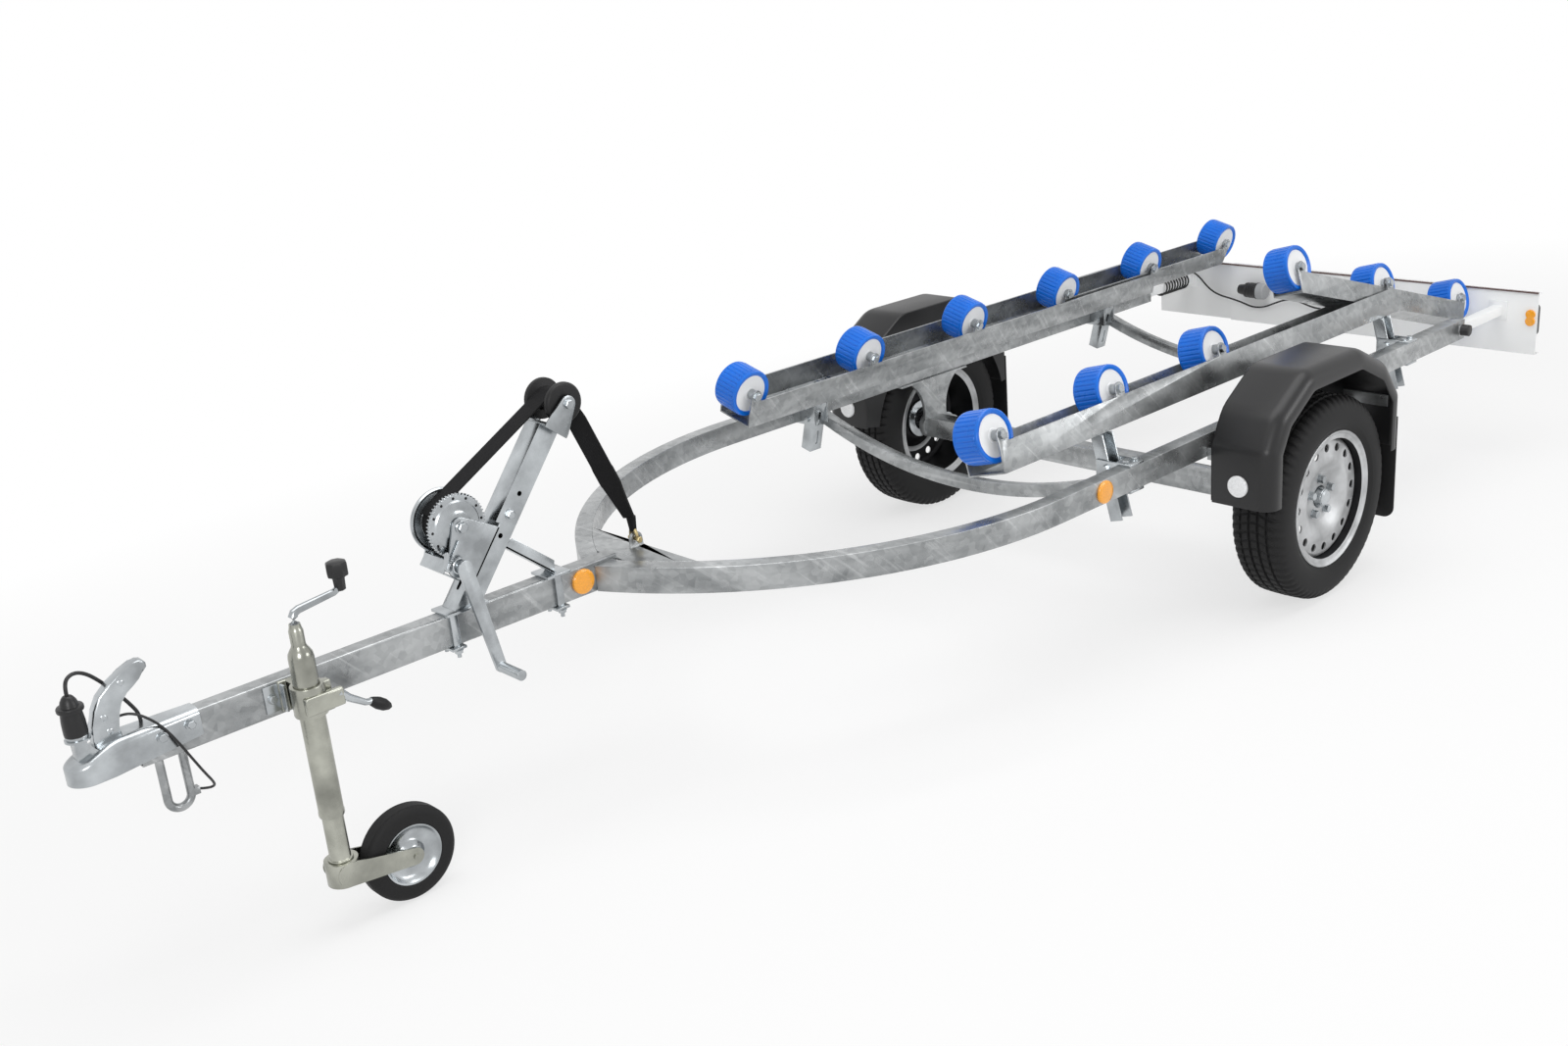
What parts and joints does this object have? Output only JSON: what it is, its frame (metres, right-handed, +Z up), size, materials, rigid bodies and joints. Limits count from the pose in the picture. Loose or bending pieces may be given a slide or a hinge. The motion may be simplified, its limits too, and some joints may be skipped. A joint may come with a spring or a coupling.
{
  "type": "personal watercraft trailer",
  "caption": "Single-axle trailer for a small watercraft: bent side rails, tilted roller bunks with rockers, strap winch, jockey wheel and pull-out light board.",
  "frame": {"origin": "middle of the outline on the ground, under the trailer", "axes": "+X forward to the coupling, +Y to the left, +Z up"},
  "size_m": [4.37, 1.55, 0.9357],
  "materials": {
    "galvanised": "mottled hot-dip zinc, satin",
    "zinc_plate": "bright zinc plate",
    "board_sheet": "pale satin sheet",
    "wheel_silver": "silver paint, satin",
    "tyre_rubber": "matt rubber",
    "black_plastic": "moulded, slightly shiny",
    "black_rubber": "matt rubber",
    "webbing": "woven webbing",
    "blue_roller": "moulded, satin",
    "reflector_lens": "amber and clear lenses",
    "lamp_red": "red and amber lenses"
  },
  "bodies": {
    "chassis": {"drawbar": "galvanised", "side_rails": "galvanised", "gusset": "galvanised", "cross_members": "galvanised", "axle_beam": "galvanised", "trailing_arms": "galvanised", "mudguards": "black_plastic", "guard_stays": "galvanised", "mud_flaps": "black_plastic", "bunk_channels": "galvanised", "roller_pins": "zinc_plate", "bunk_posts": "galvanised", "post_cheeks": "galvanised", "coupling_head": "zinc_plate", "coupling_lever": "zinc_plate", "plug": "black_plastic", "jockey_clamp": "galvanised", "jockey_tube": "galvanised", "jockey_crank": "zinc_plate", "winch_post": "galvanised", "post_straps": "galvanised", "winch_frame": "zinc_plate", "strap": "webbing", "strap_hook": "zinc_plate", "arm_guides": "black_plastic", "reflectors": "reflector_lens", "plug_cable": "black_plastic", "safety_cable": "black_plastic"},
    "wheel_left": {"tyre_left": "tyre_rubber", "rim_left": "wheel_silver", "hub_left": "zinc_plate"},
    "wheel_right": {"tyre_right": "tyre_rubber", "rim_right": "wheel_silver", "hub_right": "zinc_plate"},
    "rocker_left": {"rocker_left": "galvanised"},
    "roller_left_1": {"roller_left_1": "blue_roller"},
    "roller_left_2": {"roller_left_2": "blue_roller"},
    "roller_left_3": {"roller_left_3": "blue_roller"},
    "roller_left_4": {"roller_left_4": "blue_roller"},
    "roller_left_5": {"roller_left_5": "blue_roller"},
    "roller_left_6": {"roller_left_6": "blue_roller"},
    "rocker_right": {"rocker_right": "galvanised"},
    "roller_right_1": {"roller_right_1": "blue_roller"},
    "roller_right_2": {"roller_right_2": "blue_roller"},
    "roller_right_3": {"roller_right_3": "blue_roller"},
    "roller_right_4": {"roller_right_4": "blue_roller"},
    "roller_right_5": {"roller_right_5": "blue_roller"},
    "roller_right_6": {"roller_right_6": "blue_roller"},
    "jockey_leg": {"jockey_leg": "zinc_plate"},
    "jockey_castor": {"jockey_fork": "zinc_plate"},
    "jockey_wheel": {"jockey_wheel": "tyre_rubber"},
    "winch_drum": {"winch_drum": "zinc_plate"},
    "winch_crank": {"winch_crank": "zinc_plate"},
    "bow_roller": {"bow_roller": "black_rubber"},
    "light_board": {"light_board": "board_sheet", "board_arms": "galvanised", "rear_lamps": "lamp_red", "light_cable": "black_plastic", "cable_coil": "black_plastic", "cable_socket": "black_plastic"}
  },
  "joints": [
    {"name": "wheel_left_spin", "type": "hinge", "parent": "chassis", "child": "wheel_left", "pos_m": [-0.785, 0.682, 0.2735], "axis": [0, 1, 0], "continuous": true},
    {"name": "wheel_right_spin", "type": "hinge", "parent": "chassis", "child": "wheel_right", "pos_m": [-0.785, -0.682, 0.2735], "axis": [0, 1, 0], "continuous": true},
    {"name": "rocker_left_seesaw", "type": "hinge", "parent": "chassis", "child": "rocker_left", "pos_m": [-1.593, 0.415, 0.649], "axis": [0, -0.9659, -0.2588], "range_deg": [-17, 3]},
    {"name": "roller_left_1_spin", "type": "hinge", "parent": "chassis", "child": "roller_left_1", "pos_m": [0.207, 0.415, 0.649], "axis": [0, 0.9659, 0.2588], "continuous": true},
    {"name": "roller_left_2_spin", "type": "hinge", "parent": "chassis", "child": "roller_left_2", "pos_m": [-0.243, 0.415, 0.649], "axis": [0, 0.9659, 0.2588], "continuous": true},
    {"name": "roller_left_3_spin", "type": "hinge", "parent": "chassis", "child": "roller_left_3", "pos_m": [-0.693, 0.415, 0.649], "axis": [0, 0.9659, 0.2588], "continuous": true},
    {"name": "roller_left_4_spin", "type": "hinge", "parent": "rocker_left", "child": "roller_left_4", "pos_m": [-1.16266, 0.38095, 0.77608], "axis": [0, 0.9659, 0.2588], "continuous": true},
    {"name": "roller_left_5_spin", "type": "hinge", "parent": "rocker_left", "child": "roller_left_5", "pos_m": [-1.593, 0.415, 0.649], "axis": [0, 0.9659, 0.2588], "continuous": true},
    {"name": "roller_left_6_spin", "type": "hinge", "parent": "rocker_left", "child": "roller_left_6", "pos_m": [-2.02334, 0.44905, 0.52192], "axis": [0, 0.9659, 0.2588], "continuous": true},
    {"name": "rocker_right_seesaw", "type": "hinge", "parent": "chassis", "child": "rocker_right", "pos_m": [-1.593, -0.415, 0.649], "axis": [0, -0.9659, 0.2588], "range_deg": [0, 20]},
    {"name": "roller_right_1_spin", "type": "hinge", "parent": "chassis", "child": "roller_right_1", "pos_m": [0.207, -0.415, 0.649], "axis": [0, 0.9659, -0.2588], "continuous": true},
    {"name": "roller_right_2_spin", "type": "hinge", "parent": "chassis", "child": "roller_right_2", "pos_m": [-0.243, -0.415, 0.649], "axis": [0, 0.9659, -0.2588], "continuous": true},
    {"name": "roller_right_3_spin", "type": "hinge", "parent": "chassis", "child": "roller_right_3", "pos_m": [-0.693, -0.415, 0.649], "axis": [0, 0.9659, -0.2588], "continuous": true},
    {"name": "roller_right_4_spin", "type": "hinge", "parent": "rocker_right", "child": "roller_right_4", "pos_m": [-1.143, -0.415, 0.649], "axis": [0, 0.9659, -0.2588], "continuous": true},
    {"name": "roller_right_5_spin", "type": "hinge", "parent": "rocker_right", "child": "roller_right_5", "pos_m": [-1.593, -0.415, 0.649], "axis": [0, 0.9659, -0.2588], "continuous": true},
    {"name": "roller_right_6_spin", "type": "hinge", "parent": "rocker_right", "child": "roller_right_6", "pos_m": [-2.043, -0.415, 0.649], "axis": [0, 0.9659, -0.2588], "continuous": true},
    {"name": "jockey_leg_slide", "type": "slide", "parent": "chassis", "child": "jockey_leg", "axis": [0, 0, 1], "range_m": [-0.12, 0.09]},
    {"name": "jockey_castor_swivel", "type": "hinge", "parent": "jockey_leg", "child": "jockey_castor", "pos_m": [1.76, 0.078, 0.125], "axis": [0, 0, 1], "continuous": true},
    {"name": "jockey_wheel_spin", "type": "hinge", "parent": "jockey_castor", "child": "jockey_wheel", "pos_m": [1.62, 0.078, 0.1], "axis": [0, 1, 0], "continuous": true},
    {"name": "winch_drum_spin", "type": "hinge", "parent": "chassis", "child": "winch_drum", "pos_m": [1.36939, 0, 0.7082], "axis": [0, 1, 0], "continuous": true},
    {"name": "winch_crank_spin", "type": "hinge", "parent": "chassis", "child": "winch_crank", "pos_m": [1.38653, 0, 0.63088], "axis": [0, 1, 0], "continuous": true},
    {"name": "bow_roller_spin", "type": "hinge", "parent": "chassis", "child": "bow_roller", "pos_m": [1.08285, 0, 0.89172], "axis": [0, 1, 0], "continuous": true},
    {"name": "light_board_slide", "type": "slide", "parent": "chassis", "child": "light_board", "axis": [-1, 0, 0], "range_m": [0, 0.2]}
  ],
  "couplings": [
    {"joint": "winch_crank_spin", "follows": "winch_drum_spin", "ratio": -4.5}
  ]
}
